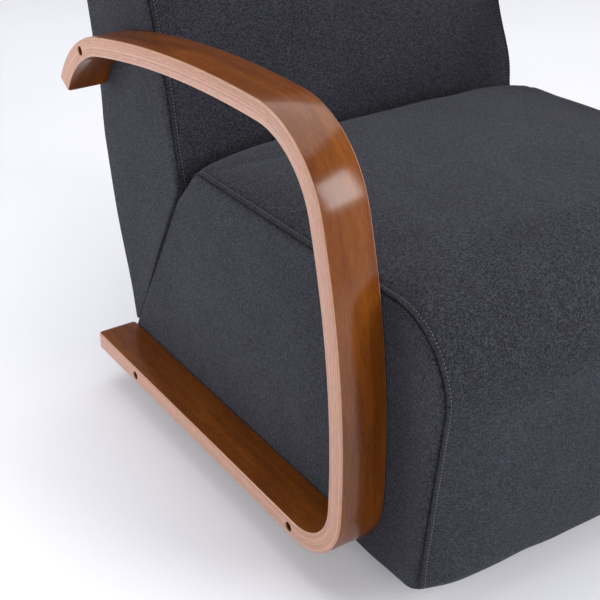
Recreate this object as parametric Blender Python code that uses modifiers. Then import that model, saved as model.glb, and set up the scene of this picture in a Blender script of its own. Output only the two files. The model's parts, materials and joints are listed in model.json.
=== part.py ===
# Swivel accent chair: an upholstered seat and back between two bent plywood arms, on a low swivel base.
# Metres, +Z up. The front faces -Y, and the swivel axis is Z through the origin, on the floor.
# Side outlines are drawn in (u, z): u runs forward from the seat's lower rear corner, z up from underneath.
import math

import bmesh
import bpy
from mathutils import Matrix, Vector

# Fits
TOUCH = 0.0003  # between pieces that rest on each other
HOLE_CLEARANCE = 0.0004  # round a bolt, screw or pin, on the radius
BALL_CLEARANCE = 0.0004  # round a ball in its races, on the radius
BACK_GAP = 0.0006  # between the seat's slanted rear and the back

# Base, from the floor up
GLIDE_COUNT = 6
GLIDE_INSET = 0.035  # of a glide's middle from the base's rim
GLIDE_TURN = 90.0  # degrees, so that one glide is at the front and one at the rear
GLIDE_RADIUS = 0.016
GLIDE_HEIGHT = 0.010
GLIDE_EDGE = 0.004
GLIDE_SHANK_RADIUS = 0.003
GLIDE_SHANK_LENGTH = 0.014
BASE_RADIUS = 0.250
BASE_THICKNESS = 0.028
BASE_EDGE = 0.004

# Swivel
PLATE_RADIUS = 0.150
PLATE_THICKNESS = 0.004
BALL_COUNT = 12
BALL_RADIUS = 0.0045
BALL_CIRCLE = 0.120
RACE_DEPTH = 0.0014
CAGE_WIDTH = 0.016
CAGE_THICKNESS = 0.003
PIN_RADIUS = 0.006
PIN_HEAD_RADIUS = 0.011
PIN_HEAD_HEIGHT = 0.008
PIN_HEAD_RECESS = 0.002
PIN_TAIL = 0.002
NUT_RADIUS = 0.0105
NUT_HEIGHT = 0.008
BUSH_WALL = 0.0025
BUSH_FLANGE_RADIUS = 0.014
BUSH_FLANGE_THICKNESS = 0.002
PLATE_FASTENERS = 4
SCREW_RADIUS = 0.003
SCREW_HEAD_RADIUS = 0.0055
SCREW_HEAD_HEIGHT = 0.0026
SCREW_LENGTH = 0.020
SCREW_CIRCLE = 0.070
PLATE_BOLT_LENGTH = 0.016
PLATE_BOLT_CIRCLE = 0.092
PLATE_BOLT_TURN = 45.0  # degrees round from the base's screws
ACCESS_RADIUS = 0.009  # hole through which the plate bolts are reached from below

# Seat, as seen from its side
SEAT_WIDTH = 0.560
SEAT_LENGTH = 0.682  # along the underside
SEAT_FRONT_LEAN = 7.0  # degrees forward of upright
SEAT_REAR_SLANT = 30.0  # degrees from upright
SEAT_REAR_HEIGHT = 0.344  # of the top seam at its rear end
SEAT_TOP_PITCH = 1.15  # degrees, rising to the front
NOSE_BOTTOM = 0.281  # where the rear slant turns into the nose under the back
NOSE_PITCH = 44.0
SEAT_FRONT_RADIUS = 0.088
SEAT_HEM_RADIUS = 0.012
NOSE_RADIUS = 0.025
SEAT_CROWN = 0.030
SEAT_FRONT_SWELL = 0.006
SEAT_SWELL_FADE = 0.100  # how far behind the front face its swell dies out

# Back, as seen from its side
BACK_TIP_HEIGHT = 0.031
BACK_REAR_LEAN = 11.24
LUMBAR_HEIGHT = 0.2976
LUMBAR_LEAN = 5.0
BACK_BEND_HEIGHT = 0.360
BACK_FRONT_LEAN = 19.5
BACK_HEIGHT = 0.820
BACK_TIP_RADIUS = 0.004
LUMBAR_RADIUS = 0.012
BACK_BEND_RADIUS = 0.250
BACK_TOP_RADIUS = 0.045
BACK_FRONT_SWELL = 0.012
BACK_SWELL_FADE = 0.120
BACK_REAR_SWELL = 0.005
BACK_TOP_CROWN = 0.006

# Covers
COVER = 0.006  # fabric with its sewn-on wadding
SIDE_TUCK = 0.006  # how far the side faces are drawn in
SIDE_ROUND = 0.008
SEAM_INSET = 0.012  # topstitched seam, from the side face
SEAM_WIDTH = 0.005
SEAM_DEPTH = 0.0018
SWELL_POWER = 3.5

# Seat frame
PANEL = 0.018
SEAT_BOARD = 0.018
BOARD_RECESS = 0.0037  # of the board above the cover's lower edge
FRAME_DROP = 0.011  # of the frame's top below the start of the seat's front roll
RAIL_WIDTH = 0.040
RAIL_HEIGHT = 0.025
SPRING_COUNT = 5
SPRING_WIRE_RADIUS = 0.002
SPRING_RUNGS = 9
SPRING_HALF_WIDTH = 0.026
CLIP_WIDTH = 0.018
CLIP_THICKNESS = 0.003
DUST_CLOTH = 0.0008
DUST_HOLE_CLEARANCE = 0.004

# Back frame
BACK_FOAM = 0.055
HARDBOARD = 0.003
BACK_TOP_PAD = 0.004  # between the frame and the start of the top's rounding
BACK_RAIL_HEIGHT = 0.060
WEB_COUNT = 4
WEB_WIDTH = 0.050
WEB_THICKNESS = 0.002
BACK_BOLT_HEIGHT = 0.110  # on the seat's slanted rear
BACK_BOLT_SPREAD = 0.180  # from the middle of the chair

# Arms: one strip, from the runner's rear end forward, up the front and back along the armrest
ARM_WIDTH = 0.060
ARM_THICKNESS = 0.025
ARM_EDGE = 0.0025
RUNNER_LENGTH = 0.522
LOWER_BEND_RADIUS = 0.081  # of the middle line, as are the others
LOWER_BEND_TURN = 86.8  # degrees
UPRIGHT_BOW_RADIUS = 1.014
UPRIGHT_BOW_TURN = 19.7
UPPER_BEND_RADIUS = 0.114
UPPER_BEND_TURN = 73.1
ARMREST_BOW_RADIUS = 1.708
ARMREST_BOW_TURN = 13.1
REAR_BEND_RADIUS = 0.166
REAR_BEND_TURN = 49.3
RUNNER_BOLT_REAR = 0.117  # from the runner's rear end
RUNNER_BOLT_FRONT = 0.511
ARM_BOLT_FROM_TIP = 0.094  # along the strip
ARM_BOLT_SETBACK = 0.0345  # behind the front edge of the back's side board

# Bolts that hold the arms and the back
BOLT_RADIUS = 0.004
BOLT_HEAD_RADIUS = 0.0058
BOLT_HEAD_HEIGHT = 0.006
BOLT_RECESS = 0.030  # of the head's seat below the arm's outer face
BOLT_BITE = 0.025  # into the seat board
BOLT_TAIL = 0.006  # past the back's boards

# Facets
ROUND_STEPS = 48
SMALL_STEPS = 12
ARC_STEP = 15.0
EDGE_TURNS = (0, 45, 90)  # round a cover's edge, degrees
ACROSS = (0.84, 0.60, 0.32)  # where a cover is drawn across its width, as shares of the half
ARM_ARC_STEP = 9.0
RACE_STEPS = 4
BALL_FACETS = (8, 6)

# Finishes: base colour, roughness, metallic
FINISHES = {
    "stained_plywood": ((0.30, 0.105, 0.030), 0.35, 0.0),
    "charcoal_fabric": ((0.058, 0.060, 0.070), 0.95, 0.0),
    "birch_plywood": ((0.62, 0.45, 0.27), 0.70, 0.0),
    "black_stained_board": ((0.020, 0.020, 0.021), 0.60, 0.0),
    "zinc_steel": ((0.55, 0.56, 0.58), 0.35, 1.0),
    "black_oxide_steel": ((0.030, 0.030, 0.032), 0.45, 1.0),
    "nylon": ((0.025, 0.025, 0.027), 0.50, 0.0),
    "seat_foam": ((0.80, 0.74, 0.58), 0.95, 0.0),
    "grey_felt": ((0.20, 0.20, 0.19), 1.00, 0.0),
    "dust_cloth": ((0.015, 0.015, 0.016), 0.95, 0.0),
    "elastic_webbing": ((0.05, 0.05, 0.05), 0.85, 0.0),
    "hardboard": ((0.23, 0.13, 0.07), 0.75, 0.0),
}

# Heights from the floor, worked out from the stack
BASE_BOTTOM = GLIDE_HEIGHT + TOUCH
BASE_TOP = BASE_BOTTOM + BASE_THICKNESS
LOWER_PLATE_BOTTOM = BASE_TOP + TOUCH
LOWER_PLATE_TOP = LOWER_PLATE_BOTTOM + PLATE_THICKNESS
BALL_HEIGHT = LOWER_PLATE_TOP + BALL_RADIUS + BALL_CLEARANCE - RACE_DEPTH
UPPER_PLATE_BOTTOM = 2 * BALL_HEIGHT - LOWER_PLATE_TOP
UPPER_PLATE_TOP = UPPER_PLATE_BOTTOM + PLATE_THICKNESS
BOARD_BOTTOM = UPPER_PLATE_TOP + TOUCH
UNDERSIDE = BOARD_BOTTOM - BOARD_RECESS

# Half widths
HALF = SEAT_WIDTH / 2
FRAME_HALF = HALF - COVER - TOUCH
BETWEEN_PANELS = FRAME_HALF - PANEL - TOUCH
ARM_INNER = HALF + TOUCH
ARM_OUTER = ARM_INNER + ARM_WIDTH

SIDES = (("right", -1), ("left", 1))


# Lines and outlines in the side view

def line(point, degrees):
    turn = math.radians(degrees)
    return Vector(point), Vector((math.cos(turn), math.sin(turn)))


def level(height, degrees=0.0):
    return line((0.0, height), degrees)


def shifted(edge, distance):
    # moves a line to its left, which is inward on an outline drawn anticlockwise
    point, way = edge
    return point + Vector((-way.y, way.x)) * distance, way


def turned_back(edge):
    return edge[0], -edge[1]


def upright(u):
    return line((u, 0.0), 90)


def meet(first, second):
    (point, way), (other, across) = first, second
    gap = other - point
    return point + way * (gap.cross(across) / way.cross(across))


def u_at(edge, height):
    point, way = edge
    return point.x + way.x * (height - point.y) / way.y


def corners(edges):
    return [meet(edges[i - 1], edges[i]) for i in range(len(edges))]


def rounded(points, radii, cuts):
    # each corner becomes an arc, and cuts says how many points go on the edge that follows it
    arcs = []
    for i, corner in enumerate(points):
        if radii[i] <= 0:
            arcs.append([corner])
            continue
        before = (points[i - 1] - corner).normalized()
        after = (points[(i + 1) % len(points)] - corner).normalized()
        half = before.angle(after) / 2
        start = corner + before * radii[i] / math.tan(half)
        centre = corner + (before + after).normalized() * radii[i] / math.sin(half)
        sweep = math.pi - 2 * half
        steps = max(2, round(math.degrees(sweep) / ARC_STEP))
        spoke = start - centre
        arcs.append([centre + Matrix.Rotation(sweep * k / steps, 2) @ spoke for k in range(steps + 1)])
    outline = []
    for i, arc in enumerate(arcs):
        outline += arc
        following = arcs[(i + 1) % len(arcs)][0]
        outline += [arc[-1].lerp(following, (k + 1) / (cuts[i] + 1)) for k in range(cuts[i])]
    return outline


def ease(share):
    share = min(1.0, max(0.0, share))
    return share * share * (3 - 2 * share)


# Seat outline

SEAT_REAR = line((0.0, 0.0), 270 - SEAT_REAR_SLANT)
SEAT_FRONT = line((SEAT_LENGTH, 0.0), 90 - SEAT_FRONT_LEAN)
SEAT_NOSE = line((u_at(SEAT_REAR, NOSE_BOTTOM), NOSE_BOTTOM), 180 + NOSE_PITCH)
SEAT_TOP = line((u_at(SEAT_NOSE, SEAT_REAR_HEIGHT), SEAT_REAR_HEIGHT), 180 + SEAT_TOP_PITCH)
ROLL_HALF_ANGLE = (-SEAT_FRONT[1]).angle(SEAT_TOP[1]) / 2
ROLL_REACH = SEAT_FRONT_RADIUS / math.tan(ROLL_HALF_ANGLE)  # of the front roll, down the front from the corner
ROLL_START = (meet(SEAT_FRONT, SEAT_TOP) - SEAT_FRONT[1] * ROLL_REACH).y

# Heights above the seat's underside
BOARD_TOP = BOARD_RECESS + SEAT_BOARD
BOARD_MIDDLE = BOARD_RECESS + SEAT_BOARD / 2
FRAME_TOP = min(ROLL_START, NOSE_BOTTOM) - FRAME_DROP
SPRING_HEIGHT = FRAME_TOP + TOUCH + SPRING_WIRE_RADIUS
CLIP_BOTTOM = SPRING_HEIGHT + SPRING_WIRE_RADIUS + TOUCH
FOAM_BOTTOM = CLIP_BOTTOM + CLIP_THICKNESS + TOUCH
BACK_TOP_REACH = BACK_TOP_RADIUS * math.tan(math.radians(90 + BACK_REAR_LEAN) / 2)
BACK_FRAME_TOP = BACK_HEIGHT - BACK_TOP_REACH - BACK_TOP_PAD


def seat_outline(inset, bottom, hem_radius):
    upper = [shifted(edge, inset) for edge in (SEAT_FRONT, SEAT_TOP, SEAT_NOSE, SEAT_REAR)]
    points = corners([level(bottom)] + upper)
    radii = (hem_radius, hem_radius, SEAT_FRONT_RADIUS - inset, NOSE_RADIUS - inset, NOSE_RADIUS - inset)
    return rounded(points, radii, (0, 2, 3, 1, 0))


def seat_swell(point, share):
    rise = ease((point.y - NOSE_BOTTOM) / (SEAT_REAR_HEIGHT - NOSE_BOTTOM))
    push = ease((point.x - SEAT_LENGTH + SEAT_SWELL_FADE) / SEAT_SWELL_FADE)
    return point + share * Vector((SEAT_FRONT_SWELL * push, SEAT_CROWN * rise))


# Back outline and the lines of its frame

BACK_SOLE = turned_back(shifted(SEAT_REAR, -BACK_GAP))
BACK_REAR = line((u_at(BACK_SOLE, BACK_TIP_HEIGHT), BACK_TIP_HEIGHT), 270 + BACK_REAR_LEAN)
BACK_LUMBAR = line((u_at(BACK_SOLE, LUMBAR_HEIGHT), LUMBAR_HEIGHT), 90 + LUMBAR_LEAN)
BACK_FRONT = line((u_at(BACK_LUMBAR, BACK_BEND_HEIGHT), BACK_BEND_HEIGHT), 90 + BACK_FRONT_LEAN)
BACK_TOP = level(BACK_HEIGHT, 180)
FOAM_REAR = shifted(BACK_FRONT, COVER + TOUCH + BACK_FOAM)
WEB_FRONT = shifted(FOAM_REAR, TOUCH)
WEB_REAR = shifted(WEB_FRONT, WEB_THICKNESS)
BACK_BOARD_FRONT = shifted(WEB_REAR, TOUCH)
HARDBOARD_REAR = shifted(BACK_REAR, COVER + TOUCH)
HARDBOARD_FRONT = shifted(HARDBOARD_REAR, HARDBOARD)
BACK_BOARD_REAR = shifted(HARDBOARD_FRONT, TOUCH)


def back_outline(inset, sole):
    edges = [shifted(BACK_SOLE, sole)]
    edges += [shifted(edge, inset) for edge in (BACK_LUMBAR, BACK_FRONT, BACK_TOP, BACK_REAR)]
    top_radius = BACK_TOP_RADIUS - inset
    radii = (BACK_TIP_RADIUS, LUMBAR_RADIUS - inset, BACK_BEND_RADIUS, top_radius, top_radius)
    return rounded(corners(edges), radii, (1, 0, 3, 0, 3))


def back_foam_outline(inset):
    edges = [shifted(BACK_SOLE, TOUCH)]
    edges += [shifted(edge, inset) for edge in (BACK_LUMBAR, BACK_FRONT, BACK_TOP, BACK_REAR)]
    edges += [level(BACK_FRAME_TOP + TOUCH), turned_back(FOAM_REAR)]
    top_radius = BACK_TOP_RADIUS - inset
    radii = (0, LUMBAR_RADIUS - inset, BACK_BEND_RADIUS, top_radius, top_radius, 0, 0)
    return rounded(corners(edges), radii, (0, 0, 3, 0, 0, 0, 0))


def back_swell(point, share):
    u, height = point
    behind = u_at(FOAM_REAR, height)
    reach = (u - behind) / (u_at(BACK_FRONT, height) - behind)
    front = min(1.0, max(0.0, reach)) * ease((height - LUMBAR_HEIGHT) / BACK_SWELL_FADE)
    skin = u_at(shifted(BACK_REAR, COVER), height)
    rear = min(1.0, max(0.0, (skin - u) / COVER)) * ease((height - BACK_TIP_HEIGHT) / BACK_SWELL_FADE)
    rise = ease((height - BACK_FRAME_TOP) / (BACK_HEIGHT - BACK_FRAME_TOP))
    push = BACK_FRONT_SWELL * front - BACK_REAR_SWELL * rear
    return point + share * Vector((push, BACK_TOP_CROWN * rise))


# Soft forms: outlines at several places across the width, drawn in at the sides and swollen in the middle

def stations(half, seamed):
    edge = [(0.0, 0.0)]
    if seamed:
        edge = []
        for degrees in EDGE_TURNS:
            turn = math.radians(degrees)
            edge.append((SIDE_ROUND * (1 - math.cos(turn)), SIDE_TUCK * (1 - math.sin(turn))))
        edge += [(SEAM_INSET, SEAM_DEPTH), (SEAM_INSET + SEAM_WIDTH, 0.0)]
    inner = half - edge[-1][0]
    edge += [(half - inner * share, 0.0) for share in ACROSS]
    left = [(half - depth, tuck) for depth, tuck in edge]
    return [(-x, tuck) for x, tuck in left] + [(0.0, 0.0)] + left[::-1]


def soft_sections(half, outline, swell, seamed=False):
    sections = []
    for x, tuck in stations(half, seamed):
        share = 1 - abs(x / HALF) ** SWELL_POWER
        sections.append((x, [swell(point, share) for point in outline(tuck)]))
    return sections


SEAT_SECTIONS = soft_sections(HALF, lambda tuck: seat_outline(tuck, tuck, SEAT_HEM_RADIUS), seat_swell,
                              seamed=True)
BACK_SECTIONS = soft_sections(HALF, lambda tuck: back_outline(tuck, tuck), back_swell, seamed=True)

# The swivel axis stands in the middle of the chair's depth
FOREMOST = max(point.x for _, outline in SEAT_SECTIONS for point in outline)
REARMOST = min(point.x for _, outline in BACK_SECTIONS for point in outline)
AXIS = (FOREMOST + REARMOST) / 2


def placed(x, point):
    return Vector((x, AXIS - point.x, UNDERSIDE + point.y))


# Scene, finishes and objects

def clear_scene():
    for obj in list(bpy.data.objects):
        bpy.data.objects.remove(obj, do_unlink=True)


def new_collection(name):
    collection = bpy.data.collections.new(name)
    bpy.context.scene.collection.children.link(collection)
    return collection


def new_material(name):
    colour, roughness, metallic = FINISHES[name]
    material = bpy.data.materials.new(name)
    material.use_nodes = True
    shader = material.node_tree.nodes["Principled BSDF"]
    shader.inputs["Base Color"].default_value = (*colour, 1.0)
    shader.inputs["Roughness"].default_value = roughness
    shader.inputs["Metallic"].default_value = metallic
    return material


clear_scene()
chair = new_collection("swivel_accent_chair")
cutters = new_collection("cutters")
materials = {name: new_material(name) for name in FINISHES}


def new_pivot(name, height):
    pivot = bpy.data.objects.new(name, None)
    pivot.location.z = height
    chair.objects.link(pivot)
    return pivot


base_pivot = new_pivot("base_axis", 0.0)
ball_pivot = new_pivot("ball_ring_axis", BALL_HEIGHT)
seat_pivot = new_pivot("seat_axis", UPPER_PLATE_BOTTOM)
bpy.context.view_layer.update()


def finished(obj, finish, pivot):
    # a finished piece takes its colour and hangs on its body's axis
    obj.data.materials.clear()
    obj.data.materials.append(materials[finish])
    obj.parent = pivot
    obj.matrix_parent_inverse = pivot.matrix_world.inverted()
    return obj


def new_object(name, data, collection=chair):
    obj = bpy.data.objects.new(name, data)
    collection.objects.link(obj)
    return obj


def as_cutter(obj):
    obj.hide_render = True
    obj.display_type = "WIRE"
    return obj


def cut(target, cutter, operation="DIFFERENCE"):
    modifier = target.modifiers.new(cutter.name, "BOOLEAN")
    modifier.operation = operation
    modifier.solver = "EXACT"
    modifier.object = cutter


def smooth(mesh, degrees=40.0):
    mesh.shade_smooth()
    mesh.set_sharp_from_angle(angle=math.radians(degrees))


def meshed(curve, collection=chair):
    # the curve's evaluated surface with its loose caps welded on
    bpy.context.view_layer.update()
    mesh = bpy.data.meshes.new_from_object(curve.evaluated_get(bpy.context.evaluated_depsgraph_get()))
    bm = bmesh.new()
    bm.from_mesh(mesh)
    bmesh.ops.remove_doubles(bm, verts=bm.verts, dist=1e-6)
    bm.to_mesh(mesh)
    bm.free()
    name, place = curve.name, curve.matrix_world.copy()
    bpy.data.objects.remove(curve, do_unlink=True)
    obj = new_object(name, mesh, collection)
    obj.matrix_world = place
    return obj


def board(name, outline, x_low, x_high):
    # a flat outline in the side view, as thick as it reaches across the chair
    curve = bpy.data.curves.new(name, "CURVE")
    curve.dimensions = "2D"
    curve.fill_mode = "BOTH"
    curve.extrude = (x_high - x_low) / 2
    spline = curve.splines.new("POLY")
    spline.points.add(len(outline) - 1)
    spline.use_cyclic_u = True
    for point, spot in zip(spline.points, outline):
        _, y, z = placed(0.0, spot)
        point.co = (y, z, 0.0, 1.0)
    obj = new_object(name, curve)
    obj.rotation_euler = (math.pi / 2, 0.0, math.pi / 2)
    obj.location.x = (x_low + x_high) / 2
    return meshed(obj)


def loft(name, sections, collection=chair):
    bm = bmesh.new()
    rings = [[bm.verts.new(placed(x, point)) for point in outline] for x, outline in sections]
    for first, second in zip(rings, rings[1:]):
        for i in range(len(first)):
            bm.faces.new((first[i - 1], first[i], second[i], second[i - 1]))
    bm.faces.new(rings[0])
    bm.faces.new(rings[-1])
    bmesh.ops.recalc_face_normals(bm, faces=bm.faces)
    mesh = bpy.data.meshes.new(name)
    bm.to_mesh(mesh)
    bm.free()
    smooth(mesh)
    return new_object(name, mesh, collection)


def turned(name, profile, steps, ring=False, collection=chair):
    # a profile of (radius, height) that runs down its outer side, turned round Z
    mesh = bpy.data.meshes.new(name)
    edges = [(i, i + 1) for i in range(len(profile) - 1)]
    if ring:
        edges.append((len(profile) - 1, 0))
    mesh.from_pydata([(radius, 0.0, height) for radius, height in profile], edges, [])
    obj = new_object(name, mesh, collection)
    modifier = obj.modifiers.new("turn", "SCREW")
    modifier.steps = steps
    modifier.render_steps = steps
    modifier.use_merge_vertices = True
    modifier.merge_threshold = 1e-6
    modifier.use_smooth_shade = False
    return obj


def fastener_profile(head_radius, head_height, shank_radius, length, seat=0.0):
    return [(0.0, head_height), (head_radius, head_height), (head_radius, seat),
            (shank_radius, seat), (shank_radius, -length), (0.0, -length)]


def hole_profile(head_radius, head_depth, shank_radius, length):
    # the fastener's room: its seat is TOUCH below the head, and its sides clear it
    return fastener_profile(head_radius + HOLE_CLEARANCE, head_depth, shank_radius + HOLE_CLEARANCE,
                            length + HOLE_CLEARANCE, seat=-TOUCH)


def joined_cutter(name, pieces):
    # several cutters, clear of each other, as one
    bpy.context.view_layer.update()
    graph = bpy.context.evaluated_depsgraph_get()
    bm = bmesh.new()
    for piece in pieces:
        mesh = bpy.data.meshes.new_from_object(piece.evaluated_get(graph))
        mesh.transform(piece.matrix_world)
        bm.from_mesh(mesh)
        bpy.data.meshes.remove(mesh)
        bpy.data.objects.remove(piece, do_unlink=True)
    mesh = bpy.data.meshes.new(name)
    bm.to_mesh(mesh)
    bm.free()
    return as_cutter(new_object(name, mesh, cutters))


def around(count, circle, height, offset_degrees=0.0):
    spots = []
    for i in range(count):
        turn = math.radians(offset_degrees + 360.0 * i / count)
        spots.append(Vector((circle * math.cos(turn), circle * math.sin(turn), height)))
    return spots


# Base: a round board on glides, with the lower swivel plate and the king pin

def plate_profile(hole_radius):
    # the lower plate's, from the ball's height: its face holds half a race
    face = LOWER_PLATE_TOP - BALL_HEIGHT
    radius = BALL_RADIUS + BALL_CLEARANCE
    reach = math.acos(-face / radius)
    race = []
    for k in range(RACE_STEPS + 1):
        turn = reach * (2 * k / RACE_STEPS - 1)
        race.append((BALL_CIRCLE + radius * math.sin(turn), -radius * math.cos(turn)))
    return [(hole_radius, face)] + race + [(PLATE_RADIUS, face), (PLATE_RADIUS, face - PLATE_THICKNESS),
                                           (hole_radius, face - PLATE_THICKNESS)]


def make_base():
    bore = PIN_RADIUS + HOLE_CLEARANCE
    bpy.ops.mesh.primitive_cylinder_add(vertices=ROUND_STEPS, radius=BASE_RADIUS, depth=BASE_THICKNESS)
    base = bpy.context.object
    base.name = "base_board"
    base.data.name = "base_board"
    for collection in list(base.users_collection):
        collection.objects.unlink(base)
    chair.objects.link(base)
    base.location.z = (BASE_BOTTOM + BASE_TOP) / 2
    edge = base.modifiers.new("edge", "BEVEL")
    edge.width = BASE_EDGE
    edge.segments = 1
    edge.limit_method = "ANGLE"
    finished(base, "black_stained_board", base_pivot)

    plate = turned("lower_swivel_plate", plate_profile(bore), ROUND_STEPS, ring=True)
    plate.location.z = BALL_HEIGHT
    finished(plate, "zinc_steel", base_pivot)

    holes = []
    glide = [(GLIDE_SHANK_RADIUS, GLIDE_SHANK_LENGTH), (GLIDE_SHANK_RADIUS, 0.0), (GLIDE_RADIUS, 0.0),
             (GLIDE_RADIUS, GLIDE_EDGE - GLIDE_HEIGHT), (GLIDE_RADIUS - GLIDE_EDGE, -GLIDE_HEIGHT)]
    for i, spot in enumerate(around(GLIDE_COUNT, BASE_RADIUS - GLIDE_INSET, GLIDE_HEIGHT, GLIDE_TURN)):
        piece = turned(f"floor_glide_{i + 1}", [(0.0, GLIDE_SHANK_LENGTH)] + glide + [(0.0, -GLIDE_HEIGHT)],
                       SMALL_STEPS)
        piece.location = spot
        finished(piece, "nylon", base_pivot)
        room = GLIDE_SHANK_RADIUS + HOLE_CLEARANCE
        deep = GLIDE_SHANK_LENGTH + HOLE_CLEARANCE
        profile = [(0.0, deep), (room, deep), (room, -GLIDE_HEIGHT), (0.0, -GLIDE_HEIGHT)]
        hole = turned("glide_hole", profile, SMALL_STEPS, collection=cutters)
        hole.location = spot
        holes.append(hole)

    screw = fastener_profile(SCREW_HEAD_RADIUS, SCREW_HEAD_HEIGHT, SCREW_RADIUS, SCREW_LENGTH)
    room = hole_profile(SCREW_HEAD_RADIUS, 2 * SCREW_HEAD_HEIGHT, SCREW_RADIUS, SCREW_LENGTH)
    for i, spot in enumerate(around(PLATE_FASTENERS, SCREW_CIRCLE, LOWER_PLATE_TOP + TOUCH)):
        piece = turned(f"base_screw_{i + 1}", screw, SMALL_STEPS)
        piece.location = spot
        finished(piece, "zinc_steel", base_pivot)
        hole = turned("screw_hole", room, SMALL_STEPS, collection=cutters)
        hole.location = spot
        holes.append(hole)

    access = turned("access_hole", [(0.0, UPPER_PLATE_BOTTOM - BALL_CLEARANCE),
                                    (ACCESS_RADIUS, UPPER_PLATE_BOTTOM - BALL_CLEARANCE),
                                    (ACCESS_RADIUS, 0.0), (0.0, 0.0)], SMALL_STEPS, collection=cutters)
    access.location = around(PLATE_FASTENERS, PLATE_BOLT_CIRCLE, 0.0, PLATE_BOLT_TURN)[0]
    holes.append(access)

    head_bottom = BASE_BOTTOM + PIN_HEAD_RECESS
    head_top = head_bottom + PIN_HEAD_HEIGHT
    nut_bottom = UPPER_PLATE_TOP + 3 * TOUCH + BUSH_FLANGE_THICKNESS
    pin_top = nut_bottom + NUT_HEIGHT + PIN_TAIL
    profile = [(0.0, pin_top), (PIN_RADIUS, pin_top), (PIN_RADIUS, head_top), (PIN_HEAD_RADIUS, head_top),
               (PIN_HEAD_RADIUS, head_bottom), (0.0, head_bottom)]
    pin = turned("king_pin", profile, SMALL_STEPS)
    finished(pin, "black_oxide_steel", base_pivot)
    room = PIN_HEAD_RADIUS + HOLE_CLEARANCE
    hole = turned("king_pin_hole", [(0.0, pin_top), (bore, pin_top), (bore, head_top + TOUCH),
                                    (room, head_top + TOUCH), (room, 0.0), (0.0, 0.0)],
                  SMALL_STEPS, collection=cutters)
    base_holes = joined_cutter("base_holes", holes + [hole])
    cut(base, base_holes)
    cut(plate, base_holes)

    nut = turned("king_pin_nut", [(bore / math.cos(math.pi / 6), NUT_HEIGHT), (NUT_RADIUS, NUT_HEIGHT),
                                  (NUT_RADIUS, 0.0), (bore / math.cos(math.pi / 6), 0.0)], 6, ring=True)
    nut.location.z = nut_bottom
    finished(nut, "black_oxide_steel", base_pivot)


# Ball ring: steel balls held in a flat steel cage, which follows the seat at half its turn

def make_ball_ring():
    inner = BALL_CIRCLE - CAGE_WIDTH / 2
    outer = BALL_CIRCLE + CAGE_WIDTH / 2
    half = CAGE_THICKNESS / 2
    profile = [(inner, half), (outer, half), (outer, -half), (inner, -half)]
    cage = turned("ball_ring", profile, ROUND_STEPS, ring=True)
    cage.location.z = BALL_HEIGHT
    around_ball, over_ball = BALL_FACETS
    bm = bmesh.new()
    for spot in around(BALL_COUNT, BALL_CIRCLE, BALL_HEIGHT, 180.0 / ROUND_STEPS):
        bmesh.ops.create_uvsphere(bm, u_segments=around_ball, v_segments=over_ball, radius=BALL_RADIUS,
                                  matrix=Matrix.Translation(spot))
    mesh = bpy.data.meshes.new("balls")
    bm.to_mesh(mesh)
    bm.free()
    cut(cage, as_cutter(new_object("balls", mesh, cutters)), "UNION")
    finished(cage, "zinc_steel", ball_pivot)


# Upper swivel plate with its bush and bolts

def make_upper_plate():
    sleeve = PIN_RADIUS + HOLE_CLEARANCE + BUSH_WALL
    profile = [(radius, -height) for radius, height in plate_profile(sleeve + TOUCH)]
    plate = turned("upper_swivel_plate", profile[::-1], ROUND_STEPS, ring=True)
    plate.location.z = BALL_HEIGHT
    finished(plate, "zinc_steel", seat_pivot)

    flange_bottom = UPPER_PLATE_TOP + TOUCH
    flange_top = flange_bottom + BUSH_FLANGE_THICKNESS
    bore = PIN_RADIUS + HOLE_CLEARANCE
    bush = turned("swivel_bush", [(bore, flange_top), (BUSH_FLANGE_RADIUS, flange_top),
                                  (BUSH_FLANGE_RADIUS, flange_bottom), (sleeve, flange_bottom),
                                  (sleeve, UPPER_PLATE_BOTTOM), (bore, UPPER_PLATE_BOTTOM)],
                  SMALL_STEPS, ring=True)
    finished(bush, "nylon", seat_pivot)

    bolt = fastener_profile(SCREW_HEAD_RADIUS, SCREW_HEAD_HEIGHT, SCREW_RADIUS, PLATE_BOLT_LENGTH)
    room = hole_profile(SCREW_HEAD_RADIUS, 2 * SCREW_HEAD_HEIGHT, SCREW_RADIUS, PLATE_BOLT_LENGTH)
    holes = []
    spots = around(PLATE_FASTENERS, PLATE_BOLT_CIRCLE, UPPER_PLATE_BOTTOM - TOUCH, PLATE_BOLT_TURN)
    for i, spot in enumerate(spots):
        piece = turned(f"seat_plate_bolt_{i + 1}", bolt, SMALL_STEPS)
        hole = turned("plate_bolt_hole", room, SMALL_STEPS, collection=cutters)
        for obj in (piece, hole):
            obj.location = spot
            obj.rotation_euler.x = math.pi
        finished(piece, "zinc_steel", seat_pivot)
        holes.append(hole)
    well = max(NUT_RADIUS, BUSH_FLANGE_RADIUS) + HOLE_CLEARANCE
    deep = UNDERSIDE + BOARD_TOP + SEAT_BOARD
    nut_well = turned("nut_well", [(0.0, deep), (well, deep), (well, flange_bottom - TOUCH / 2),
                                   (0.0, flange_bottom - TOUCH / 2)], SMALL_STEPS, collection=cutters)
    plate_holes = joined_cutter("plate_holes", holes)
    cut(plate, plate_holes)
    return plate_holes, joined_cutter("board_well", [nut_well])


# Seat frame, springs and upholstery

def between(name, outline):
    return board(name, outline, -BETWEEN_PANELS, BETWEEN_PANELS)


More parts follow.
